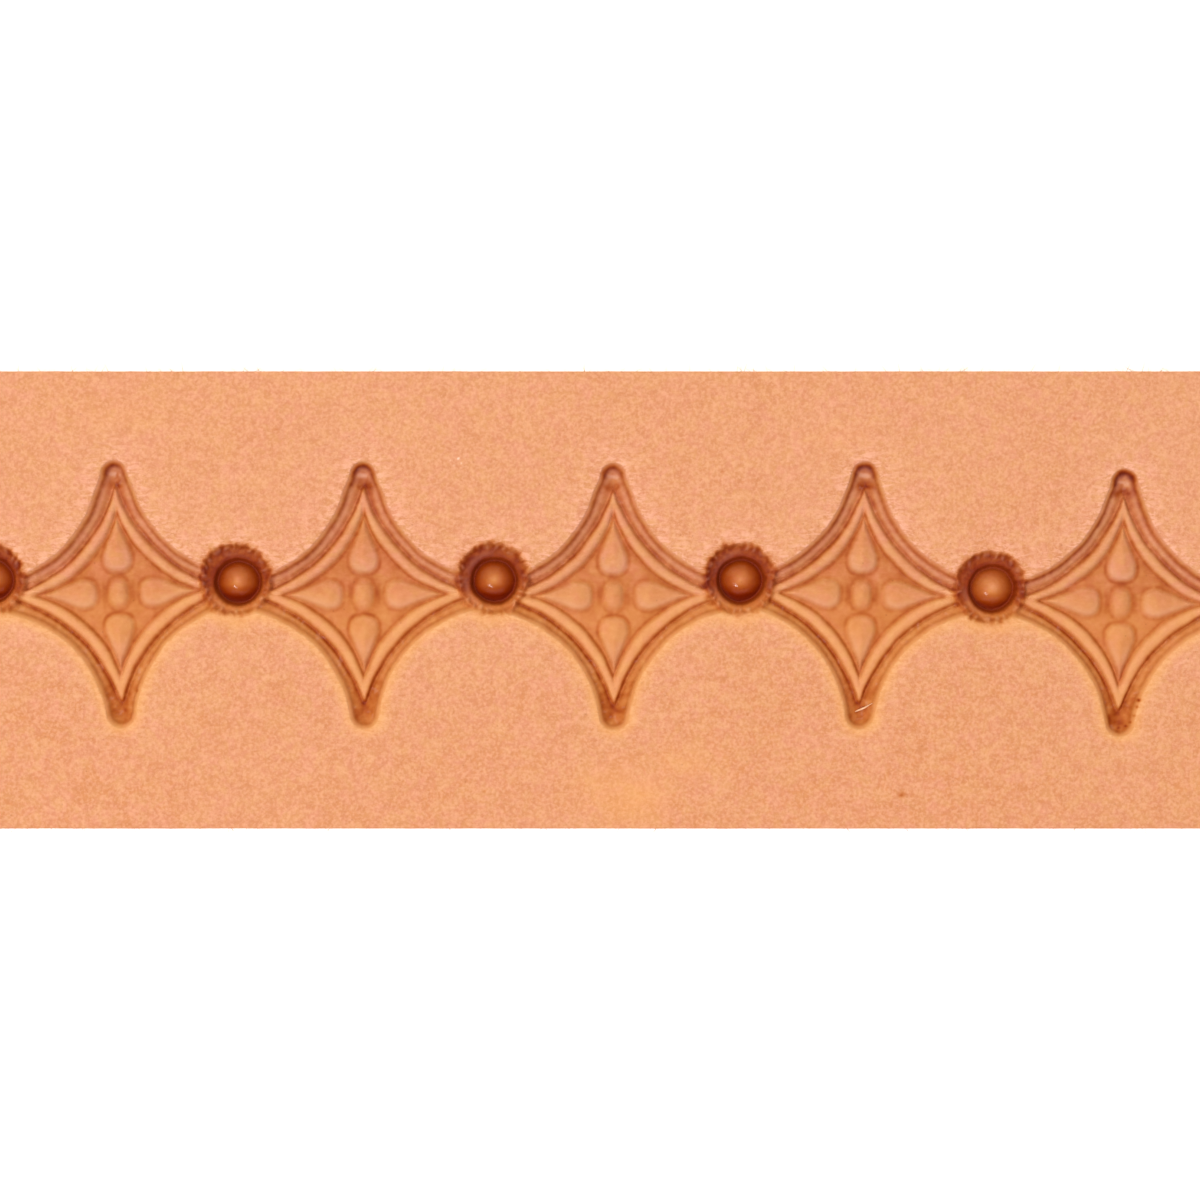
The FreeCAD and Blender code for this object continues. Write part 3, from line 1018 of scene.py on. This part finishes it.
# ==== Materials ====
class Shader:
    """A material whose nodes are added one by one and end in a Principled BSDF."""

    def __init__(self, name):
        self.material = bpy.data.materials.new(name)
        self.material.use_nodes = True
        self.tree = self.material.node_tree
        self.tree.nodes.clear()
        self.surface = self.add("ShaderNodeBsdfPrincipled")
        output = self.add("ShaderNodeOutputMaterial")
        self.tree.links.new(self.surface.outputs[0], output.inputs["Surface"])
        self.place = self.scaled_place()

    def add(self, kind, inputs=None, **settings):
        node = self.tree.nodes.new(kind)
        for key, value in settings.items():
            setattr(node, key, value)
        for key, value in (inputs or {}).items():
            self.put(node.inputs[key], value)
        return node

    def put(self, socket, value):
        if isinstance(value, bpy.types.NodeSocket):
            self.tree.links.new(value, socket)
        else:
            socket.default_value = value

    def scaled_place(self):
        """The object's own coordinates in millimetres."""
        where = self.add("ShaderNodeTexCoord").outputs["Object"]
        scale = self.add("ShaderNodeVectorMath", {0: where}, operation="SCALE")
        scale.inputs["Scale"].default_value = 1 / MM
        return scale.outputs[0]

    def across_strip(self):
        """Millimetres across the strip."""
        return self.add("ShaderNodeSeparateXYZ", {0: self.place}).outputs["Y"]

    def shifted(self, offset):
        return self.add("ShaderNodeVectorMath", {0: self.place, 1: offset}, operation="ADD").outputs[0]

    def stretched(self, factors):
        node = self.add("ShaderNodeVectorMath", {0: self.place, 1: factors}, operation="MULTIPLY")
        return node.outputs[0]

    def noise(self, scale, detail=3.0, roughness=0.55, place=None, distortion=0.0):
        inputs = {
            "Vector": place or self.place,
            "Scale": scale,
            "Detail": detail,
            "Roughness": roughness,
            "Distortion": distortion,
        }
        return self.add("ShaderNodeTexNoise", inputs).outputs["Fac"]

    def pebbles(self, scale, feature="SMOOTH_F1", place=None):
        inputs = {"Vector": place or self.place, "Scale": scale}
        node = self.add("ShaderNodeTexVoronoi", inputs, feature=feature)
        if feature == "SMOOTH_F1":
            node.inputs["Smoothness"].default_value = 0.6
        return node.outputs["Distance"]

    def value(self, name):
        return self.add("ShaderNodeAttribute", attribute_name=name).outputs["Fac"]

    def math(self, operation, first, second=0.0, clamp=False):
        node = self.add("ShaderNodeMath", {0: first, 1: second}, operation=operation)
        node.use_clamp = clamp
        return node.outputs[0]

    def fit(self, value, low, high, to_low=0.0, to_high=1.0):
        inputs = {
            "Value": value,
            "From Min": low,
            "From Max": high,
            "To Min": to_low,
            "To Max": to_high,
        }
        return self.add("ShaderNodeMapRange", inputs).outputs["Result"]

    def mix(self, share, first, second, blend="MIX"):
        node = self.add("ShaderNodeMix", data_type="RGBA", blend_type=blend)
        self.put(node.inputs["Factor"], share)
        self.put(node.inputs["A"], first)
        self.put(node.inputs["B"], second)
        return node.outputs["Result"]

    def ramp(self, value, stops):
        node = self.add("ShaderNodeValToRGB", {"Fac": value})
        elements = node.color_ramp.elements
        while len(elements) < len(stops):
            elements.new(0.5)
        for element, (position, colour) in zip(elements, stops):
            element.position = position
            element.color = colour
        return node.outputs["Color"]

    def bump(self, height, distance, strength=1.0):
        inputs = {"Height": height, "Distance": distance * MM, "Strength": strength}
        return self.add("ShaderNodeBump", inputs).outputs["Normal"]


def tint(colour, factor=1.0):
    return (colour[0] * factor, colour[1] * factor, colour[2] * factor, 1.0)


def burnish_stops():
    """What each step of burnish multiplies the leather's colour by."""
    stops = []
    for step in range(BURN_STEPS + 1):
        amount = BURN_MAX * step / BURN_STEPS
        losses = [loss * amount + bend * amount ** 2 for loss, bend in zip(BURN_LOSS, BURN_BEND)]
        stops.append((step / BURN_STEPS, tint([math.exp(-loss) for loss in losses])))
    return stops


def cut_face(s):
    """The cut edge, shared by both sides of the hide: its colour and its relief."""
    fibre = s.noise(3.4, 5.0, 0.7, s.stretched((0.35, 0.35, 2.4)))
    colour = s.mix(s.fit(fibre, 0.25, 0.75), tint(CUT_DARK), tint(CUT_PALE))
    return colour, s.math("MULTIPLY", fibre, s.math("MULTIPLY", s.value("cut"), CUT_RELIEF))


def leather_grain():
    """Natural tan grain, burnished where the stamps pressed, with painted shade, sheen and light from its
    maps, pale where it is cut.
    """
    s = Shader("tan_grain")
    burnish_and_shade = s.value("burnish_and_shade")
    crinkle_and_sheen = s.value("crinkle_and_sheen")
    cut = s.value("cut")
    clouds = s.fit(s.noise(0.11, 3.0, 0.6), 0.35, 0.68)
    mottle = s.fit(s.noise(0.9, 5.0, 0.68), 0.30, 0.70)
    pebble = s.pebbles(2.9)
    fine = s.noise(4.2, 2.0, 0.6)
    lower = s.fit(s.across_strip(), 12.0, -14.0, 0.0, 1.0)
    colour = s.mix(s.math("MULTIPLY", s.math("ADD", clouds, lower), 0.6, True), tint(PLAIN), tint(PLAIN_WARM))
    blush = s.noise(0.55, 3.0, 0.7, distortion=0.6)
    colour = s.mix(s.fit(blush, 0.42, 0.62, 0.0, 0.75), colour, tint(PLAIN_PINK))
    gild = s.noise(0.85, 2.0, 0.6, s.shifted((31.0, 17.0, 5.0)), 0.5)
    colour = s.mix(s.fit(gild, 0.45, 0.62, 0.0, 0.80), colour, tint(PLAIN_GOLD))
    plain = s.fit(s.value("shine"), 0.0, 0.25, 1.0, 0.30)
    colour = s.mix(s.math("MULTIPLY", s.fit(mottle, 0, 1, 0.0, 0.30), plain), colour, tint(PLAIN_DEEP))
    blotch = s.noise(1.5, 2.0, 0.5, distortion=0.4)
    colour = s.mix(s.math("MULTIPLY", s.fit(blotch, 0.38, 0.66, 0.0, 0.46), plain), colour, tint(PLAIN_DEEP))
    valley = s.fit(pebble, 0.20, 0.75)
    colour = s.mix(s.math("MULTIPLY", s.math("MULTIPLY", valley, 0.16), plain), colour, tint(PLAIN_DEEP, 0.8))
    colour = s.mix(s.math("MULTIPLY", s.fit(fine, 0.40, 0.66, 0.0, 0.46), plain), colour, tint(PLAIN_PALE))
    wrinkle = s.noise(2.3, 3.0, 0.6, s.stretched((0.55, 1.5, 1.0)), 0.8)
    # warm patches, and painted light just below the stamps
    colour = s.mix(s.math("MULTIPLY", s.value("warmth_and_painted_light"), 0.52), colour, tint(WARMTH_AND_PAINTED_LIGHT))
    # painted sheen: crinkled grain turns pale where its mask is strong
    frost_sheen = s.math("MULTIPLY", s.fit(wrinkle, 0.48, 0.60), s.math("MULTIPLY", crinkle_and_sheen, 0.80))
    frost_sheen_colour = s.mix(s.fit(s.value("warmth_and_painted_light"), 0.0, 0.4), tint(FROST_SHEEN), tint(WARM_FROST_SHEEN))
    colour = s.mix(frost_sheen, colour, frost_sheen_colour)
    pore = s.pebbles(0.8, "F1")
    colour = s.mix(s.fit(pore, 0.03, 0.07, 0.28, 0.0), colour, tint(PLAIN_DEEP, 0.5))
    # burnish darkens the colour, and with it the painted shade kept in the same map
    darker = s.ramp(s.math("DIVIDE", burnish_and_shade, BURN_MAX, True), burnish_stops())
    colour = s.mix(1.0, colour, darker, "MULTIPLY")
    # painted sheen and highlights, in a pale pink over the burnish
    colour = s.mix(s.math("MULTIPLY", s.value("painted_sheen"), 0.42), colour, tint(PAINTED_SHEEN_COLOUR))
    colour = s.mix(s.value("scuff"), colour, tint(SCUFF))
    cut_colour, cut_relief = cut_face(s)
    colour = s.mix(cut, colour, cut_colour)
    s.put(s.surface.inputs["Base Color"], colour)
    gloss = s.fit(s.value("shine"), 0.0, 1.0, 0.60, 0.15)
    gloss = s.math("ADD", gloss, s.fit(fine, 0.3, 0.7, -0.06, 0.06))
    s.put(s.surface.inputs["Roughness"], s.math("ADD", gloss, s.math("MULTIPLY", cut, 0.3), True))
    s.surface.inputs["Specular IOR Level"].default_value = 0.12
    relief = s.math("MULTIPLY", s.fit(pebble, 0.1, 0.8, 1.0, 0.0), 0.7)
    relief = s.math("ADD", relief, s.math("MULTIPLY", fine, 0.9))
    relief = s.math("MULTIPLY", relief, s.fit(s.value("shine"), 0.0, 0.35, 1.0, 0.22))
    relief = s.math("ADD", relief, s.math("MULTIPLY", wrinkle, s.math("MULTIPLY", crinkle_and_sheen, 2.4)))
    relief = s.math("ADD", relief, cut_relief)
    s.put(s.surface.inputs["Normal"], s.bump(relief, GRAIN_RELIEF))
    return s.material


def leather_back():
    """Fibrous suede of the flesh side, and the cut edge above it."""
    s = Shader("suede")
    cut_colour, cut_relief = cut_face(s)
    nap = s.noise(1.1, 6.0, 0.75, distortion=1.2)
    suede = s.mix(s.fit(nap, 0.35, 0.65), tint(SUEDE_DARK), tint(SUEDE_PALE))
    s.put(s.surface.inputs["Base Color"], s.mix(s.value("cut"), suede, cut_colour))
    s.put(s.surface.inputs["Roughness"], s.fit(nap, 0.3, 0.7, 0.78, 0.92))
    relief = s.math("MULTIPLY", nap, 2.0)
    relief = s.math("ADD", relief, cut_relief)
    s.put(s.surface.inputs["Normal"], s.bump(relief, GRAIN_RELIEF))
    return s.material


def fibre_material(name, dark, pale):
    s = Shader(name)
    streak = s.noise(3.0, 3.0, 0.6)
    s.put(s.surface.inputs["Base Color"], s.mix(s.fit(streak, 0.3, 0.7), tint(dark), tint(pale)))
    s.put(s.surface.inputs["Roughness"], s.fit(streak, 0.3, 0.7, 0.55, 0.75))
    s.put(s.surface.inputs["Normal"], s.bump(streak, 0.02))
    return s.material


def floor_material():
    """A matt white paper backdrop with a faint tooth."""
    s = Shader("white_paper")
    tooth = s.noise(0.6, 4.0, 0.6)
    s.put(s.surface.inputs["Base Color"], s.mix(tooth, tint(FLOOR, 0.98), tint(FLOOR)))
    s.surface.inputs["Roughness"].default_value = 0.9
    s.surface.inputs["Specular IOR Level"].default_value = 0.1
    s.surface.inputs["Emission Color"].default_value = tint(FLOOR)
    s.surface.inputs["Emission Strength"].default_value = FLOOR_GLOW
    return s.material


# ==== Floor, light and camera ====
def make_floor():
    bpy.ops.mesh.primitive_plane_add(size=4.0, location=(0, 0, -0.00002))
    floor = bpy.context.object
    floor.name = "floor"
    floor.data.materials.append(floor_material())


def area_light(name, azimuth, elevation, distance, size, power, colour):
    """An area light that looks at the strip; azimuth 0 is at +Y, 90 at +X."""
    turn = math.radians(azimuth)
    lift = math.radians(elevation)
    flat = distance * math.cos(lift)
    spot = Vector((flat * math.sin(turn), flat * math.cos(turn), distance * math.sin(lift)))
    data = bpy.data.lights.new(name, "AREA")
    data.shape = "RECTANGLE"
    data.size = size[0]
    data.size_y = size[1]
    data.energy = power
    data.color = colour
    lamp = bpy.data.objects.new(name, data)
    lamp.location = spot
    lamp.rotation_euler = (-spot).to_track_quat("-Z", "Y").to_euler()
    bpy.context.scene.collection.objects.link(lamp)


def make_light():
    world = bpy.data.worlds.new("studio")
    bpy.context.scene.world = world
    world.use_nodes = True
    background = world.node_tree.nodes["Background"]
    background.inputs["Color"].default_value = (1.0, 0.96, 1.0, 1.0)
    background.inputs["Strength"].default_value = WORLD_STRENGTH
    area_light("overhead", 0, 80, 0.90, (1.10, 1.10), TOP_POWER, (1.0, 0.97, 0.94))
    area_light("key", -28, 38, 0.90, (1.40, 0.70), KEY_POWER, (1.0, 0.94, 0.60))
    area_light("fill", 218, 58, 0.80, (0.22, 0.06), FILL_POWER, (1.0, 0.95, 0.97))
    area_light("sheen", 180, 40, 0.80, (0.90, 0.22), SHEEN_POWER, (1.0, 0.84, 1.0))


def make_camera():
    """Straight above the strip, a little left of its middle."""
    data = bpy.data.cameras.new("camera")
    data.sensor_width = SENSOR
    data.lens = LENS
    distance = VIEW_WIDTH * LENS / SENSOR
    camera = bpy.data.objects.new("camera", data)
    camera.location = (VIEW_X * MM, 0.0, (TOP + distance) * MM)
    data.clip_start = 0.01
    data.clip_end = 20.0
    bpy.context.scene.collection.objects.link(camera)
    bpy.context.scene.camera = camera


def main():
    scene = bpy.context.scene
    scene.view_settings.view_transform = "Standard"
    maps = height_map()
    grain = make_grain(maps)
    back = make_back()
    fibre = make_stray_fibre(maps)
    nap = make_nap()
    dressed = [
        (grain, leather_grain(), "grain"),
        (back, leather_back(), "flesh"),
        (fibre, fibre_material("pale_fibre", FIBRE_DARK, FIBRE_PALE), "flesh"),
        (nap, fibre_material("nap", CUT_DARK, CUT_PALE), "flesh"),
    ]
    for piece, material, slot in dressed:
        piece.data.materials.append(material)
        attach(piece, "root")
    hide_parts("grain_side")
    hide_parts("flesh_side")
    make_floor()
    make_light()
    make_camera()


main()
